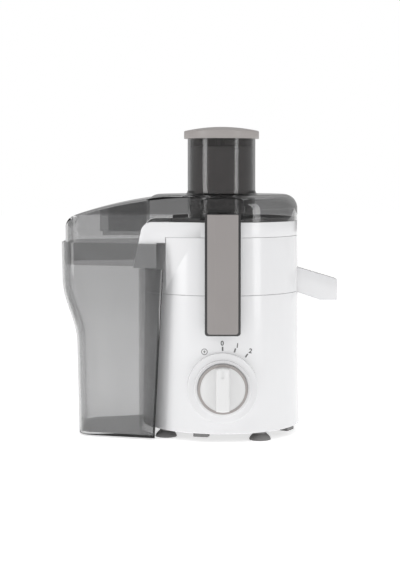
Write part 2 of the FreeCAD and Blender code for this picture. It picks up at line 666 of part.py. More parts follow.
def grater_disc():
    """Steel disc with rings of small raised teeth on top of the filter's base."""
    plate = ring(GRATER_RADIUS, SHAFT_RADIUS + 1.0, GRATER_TOP - 1.0, GRATER_TOP)
    teeth = []
    for row in range(GRATER_TEETH_RINGS):
        radius = 14.0 + row * 6.6
        count = 6 + 4 * row
        for step in range(count):
            x, y = polar(radius, 360.0 * (step + 0.5 * (row % 2)) / count)
            teeth.append(Part.makeCone(1.3, 0.5, 1.8, vec(x, y, GRATER_TOP - 0.2)))
    return plate.multiFuse(teeth)


def filter_basket():
    """Conical sheet that stands for the fine mesh."""
    low = FILTER_BASE + 1.0
    outer = cone(FILTER_BASE_RADIUS, FILTER_RIM_RADIUS, low, FILTER_TOP - 2.0)
    inner = cone(FILTER_BASE_RADIUS - FILTER_SHEET, FILTER_RIM_RADIUS - FILTER_SHEET, low, FILTER_TOP - 2.0)
    return outer.cut(inner)


def filter_rim():
    low = FILTER_TOP - 2.0
    points = [(FILTER_RIM_RADIUS - 1.6, low), (FILTER_RIM_RADIUS + 1.2, low),
              (FILTER_RIM_RADIUS + 1.2, low + 1.0), (FILTER_FLANGE, low + 1.0),
              (FILTER_FLANGE, low + 2.6), (FILTER_RIM_RADIUS - 1.6, low + 2.6)]
    return turned(points)


def filter_base():
    """Moulded base of the filter, with the socket that drops over the drive coupling."""
    high = GRATER_TOP - 1.0
    plate = disc(GRATER_RADIUS, FILTER_BASE - 3.0, high)
    ring_part = ring(FILTER_BASE_RADIUS, GRATER_RADIUS - 1.0, FILTER_BASE - 3.0, FILTER_BASE + 1.0)
    socket = disc(COUPLING_RADIUS + 3.0, SHAFT_TOP - 18.0, FILTER_BASE)
    bore = disc(COUPLING_RADIUS + 0.05, SHAFT_TOP - 19.0, SHAFT_TOP - 1.0)
    screw_hole = disc(SHAFT_RADIUS + 1.0, SHAFT_TOP - 2.0, high + 1.0)
    return fuse_all([plate, ring_part, socket]).cut(bore).cut(screw_hole)


def drive_coupling():
    low = SHAFT_TOP - 18.0
    body = disc(COUPLING_RADIUS, low, SHAFT_TOP - 1.0)
    for step in range(6):
        x, y = polar(COUPLING_RADIUS, 60.0 * step)
        body = body.cut(disc(1.8, low - 1.0, SHAFT_TOP, x, y))
    return body.cut(disc(SHAFT_RADIUS, low - 1.0, SHAFT_TOP))


def motor_shaft():
    return disc(SHAFT_RADIUS, MOTOR_BOTTOM - 6.0, SHAFT_TOP - 1.0)


def shaft_seal():
    low = DECK_TOP
    body = ring(CHIMNEY_RADIUS - BOWL_WALL - 1.2, SHAFT_RADIUS + 0.9, low, low + 4.0)
    lip = ring(SHAFT_RADIUS + 2.8, SHAFT_RADIUS + 0.4, low + 4.0, low + 8.0)
    return body.fuse(lip).removeSplitter()


def bearing_heights():
    """Lower and upper bearing, each by the height of its underside."""
    return MOTOR_BOTTOM + 2.0, MOTOR_TOP - BEARING_HEIGHT - 2.0


def bearing(low):
    """Ball bearing: two races with balls between them, joined by their cage."""
    middle = (BEARING_RADIUS + SHAFT_RADIUS) / 2.0
    outer = ring(BEARING_RADIUS, middle + 1.2, low, low + BEARING_HEIGHT)
    inner = ring(middle - 1.2, SHAFT_RADIUS + SHAFT_CLEARANCE, low, low + BEARING_HEIGHT)
    cage = ring(middle + 1.3, middle - 1.3, low + 2.5, low + BEARING_HEIGHT - 2.5)
    return fuse_all([outer, inner, cage])


def motor_bracket(low, high, seat_low, arm_height):
    """Cross-shaped end bracket with a cup for the bearing and four feet."""
    cup = ring(BEARING_RADIUS + 3.0, BEARING_RADIUS, seat_low, seat_low + BEARING_HEIGHT)
    arms = []
    for angle in MOTOR_SCREW_ANGLES:
        inner = BEARING_RADIUS + 1.5
        arm = block(inner, STATOR_RADIUS + 2.0, -5.0, 5.0, seat_low, seat_low + BEARING_HEIGHT)
        leg = block(STATOR_RADIUS - 3.0, STATOR_RADIUS + 2.0, -5.0, 5.0, low, high)
        arms.append(around(arm.fuse(leg), angle))
    bracket = fuse_all([cup] + arms)
    for angle in MOTOR_SCREW_ANGLES:
        x, y = polar(MOTOR_SCREW_CIRCLE, angle)
        bracket = bracket.cut(disc(SCREW_RADIUS, seat_low - 1.0, seat_low + arm_height, x, y))
    return bracket


def stator_place():
    middle = (MOTOR_BOTTOM + MOTOR_TOP) / 2.0 + 4.0
    return middle - STATOR_HEIGHT / 2.0, middle + STATOR_HEIGHT / 2.0


def field_core():
    low, high = stator_place()
    outer = disc(STATOR_RADIUS - 3.4, low, high)
    bore = disc(ROTOR_RADIUS + AIR_GAP, low - 1.0, high + 1.0)
    core = outer.cut(bore)
    for side in (-1.0, 1.0):
        slot = block(-14.0, 14.0, 22.6, 27.6, low - 1.0, high + 1.0)
        if side < 0:
            slot = around(slot, 180.0)
        core = core.cut(slot)
    return core


def field_windings():
    low, high = stator_place()
    coil = block(-13.2, 13.2, 23.0, 27.2, low - 6.0, high + 6.0)
    coil = coil.makeFillet(1.6, coil.Edges)
    return Part.makeCompound([coil, around(coil, 180.0)])


def armature_core():
    low, high = stator_place()
    core = disc(ROTOR_RADIUS, low, high)
    for step in range(12):
        x, y = polar(ROTOR_RADIUS - 1.0, 30.0 * step)
        core = core.cut(disc(2.0, low - 1.0, high + 1.0, x, y))
    return core.cut(disc(SHAFT_RADIUS, low - 1.0, high + 1.0))


def armature_windings():
    low, high = stator_place()
    lower = ring(ROTOR_RADIUS - 3.5, SHAFT_RADIUS + 2.0, low - 8.0, low)
    upper = ring(ROTOR_RADIUS - 3.5, SHAFT_RADIUS + 2.0, high, high + 8.0)
    return Part.makeCompound([lower, upper])


def commutator():
    low = stator_place()[0] - 22.0
    body = ring(11.0, SHAFT_RADIUS, low, low + 13.0)
    for step in range(24):
        slot = block(10.0, 12.0, -0.3, 0.3, low - 1.0, low + 12.0)
        body = body.cut(around(slot, 15.0 * step))
    return body


def carbon_brushes():
    low = stator_place()[0] - 19.0
    brush = block(11.4, 21.0, -3.0, 3.0, low, low + 7.0)
    return Part.makeCompound([brush, around(brush, 180.0)])


def brush_holders():
    low = stator_place()[0] - 19.0
    sleeve = block(14.0, 30.0, -4.6, 4.6, low - 1.6, low + 8.6)
    sleeve = sleeve.cut(block(13.0, 28.5, -3.2, 3.2, low - 0.2, low + 7.2))
    flange = block(28.5, 33.0, -7.5, 7.5, low - 4.0, low + 11.0)
    holder = sleeve.fuse(flange).removeSplitter()
    return Part.makeCompound([holder, around(holder, 180.0)])


def brush_springs():
    low = stator_place()[0] - 19.0 + 3.5
    springs = []
    for angle in (0.0, 180.0):
        coils = [Part.makeTorus(1.8, 0.3, vec(21.6 + step * 1.2, 0, low), vec(1, 0, 0)) for step in range(6)]
        core = rod_x(0.5, 21.0, 28.5, 0.0, low)
        arms = [block(21.3 + step * 1.2, 21.9 + step * 1.2, -1.8, 1.8, low - 0.3, low + 0.3) for step in range(6)]
        springs.append(around(fuse_all([core] + coils + arms), angle))
    return Part.makeCompound(springs)


def cooling_fan():
    high = stator_place()[1] + 10.0
    hub = ring(9.0, SHAFT_RADIUS, high, high + 7.0)
    plate = ring(27.0, 8.5, high, high + 1.4)
    blades = []
    for step in range(10):
        blade = block(8.0, 27.0, -0.7, 0.7, high + 1.0, high + 7.0)
        blades.append(around(blade, 36.0 * step))
    return fuse_all([hub, plate] + blades)


def screws_at(circle, angles, head_low, head_high, thread_low, thread_high):
    """A group of identical screws; the head's recess is a plain cross."""
    group = []
    for angle in angles:
        x, y = polar(circle, angle)
        screw = disc(SCREW_HEAD_RADIUS, head_low, head_high, x, y)
        screw = screw.fuse(disc(SCREW_RADIUS, thread_low, thread_high, x, y)).removeSplitter()
        group.append(screw)
    return Part.makeCompound(group)


def base_screws():
    low = FOOT_HEIGHT + 0.8
    return screws_at(POST_CIRCLE, POST_ANGLES, low, low + 1.8, low, low + 15.0)


def motor_screws():
    top = DECK_TOP + 2.0
    seat_low = bearing_heights()[1]
    return screws_at(MOTOR_SCREW_CIRCLE, MOTOR_SCREW_ANGLES, DECK_TOP, top, seat_low + 0.5, top)


def rubber_mounts():
    group = []
    low = bearing_heights()[1] + BEARING_HEIGHT
    for angle in MOTOR_SCREW_ANGLES:
        x, y = polar(MOTOR_SCREW_CIRCLE, angle)
        group.append(ring(5.0, SCREW_RADIUS, low, DECK_TOP - DECK_THICKNESS, x, y))
    return Part.makeCompound(group)


def base_plate():
    low = FOOT_HEIGHT
    radius = body_radius(low) - BODY_WALL - 0.4
    plate = disc(radius, low, low + BASE_PLATE_THICKNESS)
    for angle in POST_ANGLES:
        x, y = polar(POST_CIRCLE, angle)
        plate = plate.cut(disc(SCREW_RADIUS, low - 1.0, low + 5.0, x, y))
        plate = plate.cut(disc(SCREW_HEAD_RADIUS + 0.2, low - 1.0, low + 2.6, x, y))
    for angle in FOOT_ANGLES:
        x, y = polar(FOOT_CIRCLE, angle)
        plate = plate.cut(disc(FOOT_RADIUS * 0.35, low - 1.0, low + 5.0, x, y))
    for row in range(7):
        slot = block(-22.0, 22.0, -21.0 + 7.0 * row - 1.5, -21.0 + 7.0 * row + 1.5, low - 1.0, low + 5.0)
        plate = plate.cut(slot)
    wraps = []
    for angle in WRAP_ANGLES:
        lug = block(79.0, 88.5, -8.0, 8.0, low - 3.5, low)
        wraps.append(around(lug, angle))
    return fuse_all([plate] + wraps)


def suction_foot(angle):
    """Flared rubber foot with a neck that is pulled through the base plate."""
    x, y = polar(FOOT_CIRCLE, angle)
    r = FOOT_RADIUS
    low = FOOT_HEIGHT
    plate_top = low + BASE_PLATE_THICKNESS
    foot = turned([(0.0, 1.8), (r * 0.55, 1.4), (r * 0.92, 0.0), (r, 0.0), (r, 1.2), (r * 0.95, 2.6),
                   (r * 0.84, 4.4), (r * 0.68, 6.2), (r * 0.58, 7.2), (r * 0.56, low - 0.2), (r * 0.34, low - 0.2),
                   (r * 0.34, plate_top + 0.2), (r * 0.46, plate_top + 0.2), (r * 0.3, plate_top + 2.4),
                   (0.0, plate_top + 2.4)])
    foot.translate(vec(x, y, 0))
    return foot


def clamp_arm(side):
    """Frame of a clamp: a channel with two flanges, a hook at the top and pin holes at the bottom."""
    reach, height = pivot_place()
    half = CLAMP_WIDTH / 2.0
    inner = reach + 3.4
    outer = inner + CLAMP_SKIN
    top = CLAMP_TOP
    skin = block(-half, half, inner, outer, CLAMP_BOTTOM, top)
    skin = skin.makeFillet(CLAMP_CORNER, [edge for edge in skin.Edges
                                          if edge.BoundBox.YLength > 1.0 and edge.BoundBox.ZMax < CLAMP_BOTTOM + 1.0])
    flange_inner = reach
    flanges = []
    for x_low in (-half, half - CLAMP_FLANGE):
        plate = block(x_low, x_low + CLAMP_FLANGE, flange_inner, outer, height, top)
        eye = rod_x(3.0, x_low, x_low + CLAMP_FLANGE, reach, height)
        low_web = block(x_low, x_low + CLAMP_FLANGE, flange_inner, outer, height - 2.6, height)
        flanges += [plate, eye, low_web]
    hook_low = COLLAR_TOP + LEDGE_HEIGHT + RUNNING_GAP
    hook_tip = COLLAR_RADIUS - HOOK_GRIP
    hook = block(-half, half, hook_tip, outer, hook_low, top)
    arm = fuse_all([skin, hook] + flanges)
    for x_low in (-half, half - CLAMP_FLANGE):
        hole = rod_x(CLAMP_PIN_RADIUS + PIN_CLEARANCE, x_low - 1.0, x_low + CLAMP_FLANGE + 1.0, reach, height)
        arm = arm.cut(hole)
    if side < 0:
        arm = around(arm, 180.0)
    return arm


def clamp_cover(side):
    """Coloured plate on the clamp, with a shallow facet along one edge."""
    reach = pivot_place()[0]
    inner = reach + 3.4 + CLAMP_SKIN
    half = CLAMP_COVER_WIDTH / 2.0
    low = CLAMP_BOTTOM + COVER_INSET
    plate = block(-half, half, inner, inner + CLAMP_COVER_THICKNESS, low, CLAMP_TOP)
    edges = [edge for edge in plate.Edges
             if edge.BoundBox.YLength > 1.0 and edge.BoundBox.ZMax < low + 1.0]
    plate = plate.makeFillet(3.0, edges)
    facet_points = [vec(half + 1.0, inner + 1.2, low - 1.0), vec(half + 1.0, inner + 4.0, low - 1.0),
                    vec(half - 9.0, inner + 4.0, low - 1.0),
                    vec(half - 9.0, inner + CLAMP_COVER_THICKNESS, low - 1.0)]
    facet = solid_from(facet_points, vec(0, 0, CLAMP_TOP + 2.0 - low))
    plate = plate.cut(facet)
    front = [edge for edge in plate.Edges
             if edge.BoundBox.YMin > inner + CLAMP_COVER_THICKNESS - 0.1 and edge.BoundBox.XMax < half - 8.0]
    plate = plate.makeFillet(EDGE_ROUND, front)
    if side < 0:
        plate = around(plate, 180.0)
    return plate


def clamp_pin(side):
    reach, height = pivot_place()
    half = CLAMP_WIDTH / 2.0 - 0.3
    pin = rod_x(CLAMP_PIN_RADIUS, -half, half, reach, height)
    if side < 0:
        pin = around(pin, 180.0)
    return pin


def knob_front():
    return -BASE_RADIUS - BOSS_PROUD


def knob_bezel():
    front = knob_front()
    outer = rod_y(BEZEL_RADIUS, front - BEZEL_HEIGHT, front, 0.0, KNOB_HEIGHT)
    inner = rod_y(KNOB_RADIUS + RUNNING_GAP, front - BEZEL_HEIGHT - 1.0, front + 1.0, 0.0, KNOB_HEIGHT)
    bezel = outer.cut(inner)
    rims = [edge for edge in bezel.Edges if edge.BoundBox.YMax < front - BEZEL_HEIGHT + 0.1]
    return bezel.makeFillet(EDGE_ROUND, rims)


def knob():
    """Dial with a full-height grip bar, a pointer groove and a seat for its coloured ring."""
    front = knob_front()
    back = front - 0.6
    face = back - KNOB_SKIRT
    body = rod_y(KNOB_RADIUS, face, back, 0.0, KNOB_HEIGHT)
    seat = rod_y(KNOB_RADIUS + 1.0, face - 1.0, face + 3.0, 0.0, KNOB_HEIGHT).cut(
        rod_y(KNOB_RING_INNER, face - 2.0, face + 4.0, 0.0, KNOB_HEIGHT))
    body = body.cut(seat)
    half = GRIP_WIDTH / 2.0
    length = KNOB_RING_INNER - 0.6
    grip = block(-half, half, face - GRIP_HEIGHT, face + 1.0, KNOB_HEIGHT - length, KNOB_HEIGHT + length)
    grip = grip.common(rod_y(length, face - GRIP_HEIGHT - 1.0, face + 2.0, 0.0, KNOB_HEIGHT))
    outer_edges = [edge for edge in grip.Edges if edge.BoundBox.YMax < face - GRIP_HEIGHT + 0.1]
    grip = grip.makeFillet(GRIP_ROUND, outer_edges)
    groove = block(-1.6, 1.6, face - GRIP_HEIGHT - 1.0, face - GRIP_HEIGHT + 0.8,
                   KNOB_HEIGHT + length - 11.0, KNOB_HEIGHT + length - 3.0)
    body = body.fuse(grip).cut(groove)
    bore = rod_y(SPINDLE_RADIUS, back - 5.0, back + 1.0, 0.0, KNOB_HEIGHT)
    return body.cut(bore).removeSplitter()


def knob_ring():
    face = knob_front() - 0.6 - KNOB_SKIRT
    outer = rod_y(KNOB_RADIUS, face - 0.5, face + 3.0, 0.0, KNOB_HEIGHT)
    return outer.cut(rod_y(KNOB_RING_INNER, face - 2.0, face + 4.0, 0.0, KNOB_HEIGHT))


def switch_spindle():
    return rod_y(SPINDLE_RADIUS, knob_front() - 5.6, knob_front() + SPINDLE_INSIDE, 0.0, KNOB_HEIGHT)


def rotary_switch():
    half = SWITCH_WIDTH / 2.0
    face = knob_front() + SWITCH_FACE
    back = face + SWITCH_DEPTH
    body = block(-half, half, face, back, KNOB_HEIGHT - half, KNOB_HEIGHT + half)
    neck = rod_y(SPINDLE_RADIUS * 2.0, knob_front() + BODY_WALL, face + 1.0, 0.0, KNOB_HEIGHT)
    tabs = [block(x - 1.0, x + 1.0, back - 1.0, back + 6.0, KNOB_HEIGHT - 3.2, KNOB_HEIGHT + 3.2)
            for x in (-9, 0, 9)]
    bore_end = knob_front() + SPINDLE_INSIDE + 2.0
    bore = rod_y(SPINDLE_RADIUS + SHAFT_CLEARANCE, knob_front() - 9.0, bore_end, 0.0, KNOB_HEIGHT)
    return fuse_all([body, neck] + tabs).cut(bore)


def gland_wall():
    """How far back the rear wall stands where the gland sits."""
    return math.sqrt(body_radius(GLAND_Z) ** 2 - GLAND_X ** 2)


def cord_gland():
    """Empty rubber gland at the rear where the supply cord would enter."""
    wall = gland_wall()
    body = rod_y(GLAND_RADIUS - GLAND_GAP, wall - 6.0, wall + 3.0, GLAND_X, GLAND_Z)
    return body.cut(rod_y(CORD_RADIUS, wall - 7.0, wall + 4.0, GLAND_X, GLAND_Z))


def suppressor():
    """Capacitor that keeps the motor's sparks off the supply."""
    low = FOOT_HEIGHT + BASE_PLATE_THICKNESS + 2.0
    can = block(44.0, 66.0, -10.0, 10.0, low, low + 18.0)
    return can.makeFillet(1.5, can.Edges)


def interlock_switch():
    """Small switch that lets the motor run only with the lid clamped down."""
    body = block(45.0, 65.0, 20.0, 27.0, DECK_TOP - DECK_THICKNESS - 12.0, DECK_TOP - DECK_THICKNESS)
    button = block(54.0, 57.0, 22.0, 25.0, DECK_TOP - DECK_THICKNESS - 14.0, DECK_TOP - DECK_THICKNESS - 12.0)
    return body.fuse(button).removeSplitter()


def all_pieces():
    low_seat, high_seat = bearing_heights()
    low_stator, high_stator = stator_place()
    pieces = {
        "lower_housing": lower_housing(),
        "upper_housing": upper_housing(),
        "base_plate": base_plate(),
        "juice_collector": juice_collector(),
        "lid": lid(),
        "feed_tube": feed_tube(),
        "lid_seal": lid_seal(),
        "pulp_container": pulp_container(),
        "pusher_body": pusher_body(),
        "pusher_cap": pusher_cap(),
        "grater_disc": grater_disc(),
        "filter_basket": filter_basket(),
        "filter_rim": filter_rim(),
        "filter_base": filter_base(),
        "drive_coupling": drive_coupling(),
        "motor_shaft": motor_shaft(),
        "shaft_seal": shaft_seal(),
        "lower_bearing": bearing(low_seat),
        "upper_bearing": bearing(high_seat),
        "upper_bracket": motor_bracket(high_stator, high_seat + BEARING_HEIGHT, high_seat, 20.0),
        "lower_bracket": motor_bracket(low_seat, low_stator, low_seat, 6.0),
        "field_core": field_core(),
        "field_windings": field_windings(),
        "armature_core": armature_core(),
        "armature_windings": armature_windings(),
        "commutator": commutator(),
        "carbon_brushes": carbon_brushes(),
        "brush_holders": brush_holders(),
        "brush_springs": brush_springs(),
        "cooling_fan": cooling_fan(),
        "rubber_mounts": rubber_mounts(),
        "motor_screws": motor_screws(),
        "base_screws": base_screws(),
        "knob": knob(),
        "knob_ring": knob_ring(),
        "knob_bezel": knob_bezel(),
        "switch_spindle": switch_spindle(),
        "rotary_switch": rotary_switch(),
        "cord_gland": cord_gland(),
        "suppressor": suppressor(),
        "interlock_switch": interlock_switch(),
    }
    for name, side in (("front", -1), ("rear", 1)):
        pieces[name + "_clamp_arm"] = clamp_arm(side)
        pieces[name + "_clamp_cover"] = clamp_cover(side)
        pieces[name + "_clamp_pin"] = clamp_pin(side)
    for name, angle in zip(("front_left", "front_right", "rear_right", "rear_left"), FOOT_ANGLES):
        pieces[name + "_foot"] = suction_foot(angle)
    return pieces


def main():
    os.makedirs("parts", exist_ok=True)
    pieces = all_pieces()
    whole = Part.makeCompound(list(pieces.values())).BoundBox
    shift = vec(-round(whole.Center.x, 1), -round(whole.Center.y, 1), 0.0)
    for name, shape in pieces.items():
        shape.translate(shift)
        shape.exportStep("parts/" + name + ".step")
        print(name, "solids", len(shape.Solids), "valid", shape.isValid(), "volume", round(shape.Volume))
    reach, height = pivot_place()
    print("motor axis", round(shift.x, 3), round(shift.y, 3), "clamp pivot", round(reach, 3), round(height, 3))
    print("size", round(whole.XLength, 1), round(whole.YLength, 1), round(whole.ZLength, 1))


main()
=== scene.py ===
# %% [markdown]
# # A centrifugal juicer, dressed for its picture
# The frame holds every moulded and turned piece of the juicer at its real size. This lesson gives those
# pieces their finishes, rounds the edges that a mould would round, and adds the printed marks of the dial.
# Everything is in metres, +Z is up, the knob faces -Y and the pulp container stands at -X.

# %% Load the frame
import json
import math

import bpy
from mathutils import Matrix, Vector


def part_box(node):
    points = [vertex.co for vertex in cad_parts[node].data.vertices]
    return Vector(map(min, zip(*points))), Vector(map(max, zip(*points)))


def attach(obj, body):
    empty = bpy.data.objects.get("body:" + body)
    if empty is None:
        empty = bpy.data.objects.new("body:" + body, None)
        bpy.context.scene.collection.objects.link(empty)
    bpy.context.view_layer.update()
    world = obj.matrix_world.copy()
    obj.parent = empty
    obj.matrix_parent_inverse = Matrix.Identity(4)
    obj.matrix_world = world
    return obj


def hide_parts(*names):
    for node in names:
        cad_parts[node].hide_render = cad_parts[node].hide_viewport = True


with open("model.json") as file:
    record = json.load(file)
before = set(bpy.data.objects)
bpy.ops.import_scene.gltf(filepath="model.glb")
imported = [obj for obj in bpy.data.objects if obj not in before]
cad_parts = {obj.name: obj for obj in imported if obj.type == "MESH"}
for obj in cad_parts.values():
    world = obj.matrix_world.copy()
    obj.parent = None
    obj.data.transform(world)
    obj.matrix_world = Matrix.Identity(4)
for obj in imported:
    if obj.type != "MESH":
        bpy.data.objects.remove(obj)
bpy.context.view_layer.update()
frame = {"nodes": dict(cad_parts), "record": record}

# %% [markdown]
# ## The places that everything else is worked out from
# A maker measures from the parts and not from the picture. The motor's axis is the middle of the feed tube's cap,
# and the knob's axis is the middle of the knob.

# %% Reference places
MM = 0.001


def middle_of(node):
    low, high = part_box(node)
    return (Vector(low) + Vector(high)) / 2.0


AXIS = middle_of("pusher_cap")
KNOB = middle_of("knob")
HOUSING_LOW, HOUSING_HIGH = [Vector(corner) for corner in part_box("lower_housing")]
print("motor axis", AXIS.x, AXIS.y, "knob", KNOB)

# %% [markdown]
# ## The camera comes first
# The juicer is seen from the front, from a little above its lid, through a long lens. A long lens keeps the upright
# edges nearly parallel. A small tilt and a small lens shift bring the whole height into the frame.

# %% Camera
CAMERA_DISTANCE = 1.630
CAMERA_HEIGHT = 0.298
CAMERA_LENS = 89.5
CAMERA_TILT = math.radians(2.3)
CAMERA_SHIFT = -0.1005
CAMERA_SIDE = 0.0247
CAMERA_REACH = 20.0


def add_camera():
    bpy.ops.object.camera_add(location=(AXIS.x - CAMERA_SIDE, AXIS.y - CAMERA_DISTANCE, CAMERA_HEIGHT),
                              rotation=(math.radians(90.0) - CAMERA_TILT, 0.0, 0.0))
    camera = bpy.context.object
    camera.name = "view_camera"
    camera.data.lens = CAMERA_LENS
    camera.data.shift_y = CAMERA_SHIFT
    camera.data.clip_end = CAMERA_REACH
    bpy.context.scene.camera = camera


add_camera()

# %% [markdown]
# ## A white studio
# White and clear plastic show their form through what they reflect. A bright room washes them out, so the room
# is a soft white, and tall soft lights stand at both sides, as a product photographer would set them. The
# backdrop is brighter where the camera looks straight at it, and the paper floor glows a little to match.

# %% Studio
FLOOR_SIZE = 12.0
FLOOR_GLOW = 0.60
ROOM_LIGHT = 0.56
BODY_MIDDLE = 0.16
SOFTBOXES = [("left_softbox", (-1.25, -0.75, 0.75), 0.45, 1.5, 7.0),
             ("right_softbox", (1.25, -0.95, 0.65), 0.35, 1.5, 5.0),
             ("top_softbox", (0.0, -0.2, 1.7), 1.2, 0.9, 6.0)]


def add_floor():
    bpy.ops.mesh.primitive_plane_add(size=FLOOR_SIZE, location=(0.0, 2.0, 0.0))
    floor = bpy.context.object
    floor.name = "studio_floor"
    material = bpy.data.materials.new("floor_paper")
    material.use_nodes = True
    shader = material.node_tree.nodes["Principled BSDF"]
    shader.inputs["Base Color"].default_value = (0.93, 0.93, 0.93, 1.0)
    shader.inputs["Roughness"].default_value = 0.9
    shader.inputs["Specular IOR Level"].default_value = 0.1
    shader.inputs["Emission Color"].default_value = (1.0, 1.0, 1.0, 1.0)
    shader.inputs["Emission Strength"].default_value = FLOOR_GLOW
    floor.data.materials.append(material)


def add_soft_light(name, place, aim, width, height, watts):
    bpy.ops.object.light_add(type="AREA", location=place)
    light = bpy.context.object
    light.name = name
    light.data.shape = "RECTANGLE"
    light.data.size = width
    light.data.size_y = height
    light.data.energy = watts
    light.rotation_euler = (Vector(aim) - Vector(place)).to_track_quat("-Z", "Y").to_euler()


def light_the_room():
    world = bpy.data.worlds.new("studio_white")
    bpy.context.scene.world = world
    world.use_nodes = True
    nodes, links = world.node_tree.nodes, world.node_tree.links
    backdrop = nodes["Background"]
    backdrop.inputs["Color"].default_value = (1.0, 1.0, 1.0, 1.0)
    backdrop.inputs["Strength"].default_value = 1.0
    room = nodes.new("ShaderNodeBackground")
    room.inputs["Strength"].default_value = ROOM_LIGHT
    ray = nodes.new("ShaderNodeLightPath")
    choose = nodes.new("ShaderNodeMixShader")
    links.new(ray.outputs["Is Camera Ray"], choose.inputs["Fac"])
    links.new(room.outputs["Background"], choose.inputs[1])
    links.new(backdrop.outputs["Background"], choose.inputs[2])
    links.new(choose.outputs["Shader"], nodes["World Output"].inputs["Surface"])
    middle = (AXIS.x, AXIS.y, BODY_MIDDLE)
    for name, place, width, height, watts in SOFTBOXES:
        add_soft_light(name, place, middle, width, height, watts)
    bpy.context.scene.view_settings.view_transform = "Standard"


add_floor()
light_the_room()

# %% [markdown]
# ## Two effects that several finishes share
# Moulded plastic is never perfectly even: its gloss varies softly, and a very fine grain breaks up reflections.
# A node group puts out a small colour change, a roughness and a height, and each material sets its own values.

# %% Shared node groups
BROAD_PATCHES = 22.0
GRAIN_DEPTH = 0.2 * MM


def new_group(name, inputs, outputs):
    group = bpy.data.node_groups.new(name, "ShaderNodeTree")
    for label, kind, value in inputs:
        socket = group.interface.new_socket(name=label, in_out="INPUT", socket_type=kind)
        socket.default_value = value
    for label, kind in outputs:
        group.interface.new_socket(name=label, in_out="OUTPUT", socket_type=kind)
    start = group.nodes.new("NodeGroupInput")
    end = group.nodes.new("NodeGroupOutput")
    return group, start, end


def moulded_grain():
    """Colour, roughness and height of a moulded surface."""
    group, start, end = new_group(
        "moulded_grain",
        [("Colour", "NodeSocketColor", (0.8, 0.8, 0.8, 1.0)), ("Roughness", "NodeSocketFloat", 0.3),
         ("Grain Scale", "NodeSocketFloat", 900.0), ("Variation", "NodeSocketFloat", 0.03)],
        [("Colour", "NodeSocketColor"), ("Roughness", "NodeSocketFloat"), ("Height", "NodeSocketFloat")])
    nodes, links = group.nodes, group.links
    place = nodes.new("ShaderNodeTexCoord")
    broad = nodes.new("ShaderNodeTexNoise")
    broad.inputs["Scale"].default_value = BROAD_PATCHES
    broad.inputs["Detail"].default_value = 3.0
    fine = nodes.new("ShaderNodeTexNoise")
    fine.inputs["Detail"].default_value = 2.0
    links.new(place.outputs["Object"], broad.inputs["Vector"])
    links.new(place.outputs["Object"], fine.inputs["Vector"])
    links.new(start.outputs["Grain Scale"], fine.inputs["Scale"])
    centred = nodes.new("ShaderNodeMath")
    centred.operation = "SUBTRACT"
    centred.inputs[1].default_value = 0.5
    links.new(broad.outputs["Fac"], centred.inputs[0])
    amount = nodes.new("ShaderNodeMath")
    amount.operation = "MULTIPLY"
    links.new(centred.outputs[0], amount.inputs[0])
    links.new(start.outputs["Variation"], amount.inputs[1])
    value = nodes.new("ShaderNodeMath")
    value.operation = "ADD"
    value.inputs[1].default_value = 1.0
    links.new(amount.outputs[0], value.inputs[0])
    tint = nodes.new("ShaderNodeHueSaturation")
    links.new(start.outputs["Colour"], tint.inputs["Color"])
    links.new(value.outputs[0], tint.inputs["Value"])
    rough = nodes.new("ShaderNodeMath")
    rough.operation = "MULTIPLY_ADD"
    rough.inputs[1].default_value = 2.0
    links.new(amount.outputs[0], rough.inputs[0])
    links.new(start.outputs["Roughness"], rough.inputs[2])
    links.new(tint.outputs["Color"], end.inputs["Colour"])
    links.new(rough.outputs[0], end.inputs["Roughness"])
    links.new(fine.outputs["Fac"], end.inputs["Height"])
    return group


GRAIN = moulded_grain()


def start_material(name):
    material = bpy.data.materials.new(name)
    material.use_nodes = True
    return material, material.node_tree.nodes, material.node_tree.links


def add_grain(material, colour, roughness, scale, variation, bump):
    nodes, links = material.node_tree.nodes, material.node_tree.links
    shader = nodes["Principled BSDF"]
    grain = nodes.new("ShaderNodeGroup")
    grain.node_tree = GRAIN
    grain.inputs["Colour"].default_value = (*colour, 1.0)
    grain.inputs["Roughness"].default_value = roughness
    grain.inputs["Grain Scale"].default_value = scale
    grain.inputs["Variation"].default_value = variation
    links.new(grain.outputs["Colour"], shader.inputs["Base Color"])
    links.new(grain.outputs["Roughness"], shader.inputs["Roughness"])
    if bump > 0.0:
        height = nodes.new("ShaderNodeBump")
        height.inputs["Strength"].default_value = bump
        height.inputs["Distance"].default_value = GRAIN_DEPTH
        links.new(grain.outputs["Height"], height.inputs["Height"])
        links.new(height.outputs["Normal"], shader.inputs["Normal"])
    return shader


# %% [markdown]
# ## The finishes
# Most of the body is glossy white plastic. The lid, the container and the pusher are clear with a smoky tint,
# which here is real glass-like transmission through walls of the true thickness. The cap, the clamps' plates and
# the knob's ring are a warm grey, and the feet are soft rubber.

# %% Plastics and rubber
EDGE_DEPTH = 2.5
EDGE_TINT = 0.35


def moulded_plastic(name, colour, roughness, scale=900.0, variation=0.03, bump=0.05, coat=0.0):
    material = start_material(name)[0]
    shader = add_grain(material, colour, roughness, scale, variation, bump)
    shader.inputs["Coat Weight"].default_value = coat
    shader.inputs["Coat Roughness"].default_value = 0.06
    return material


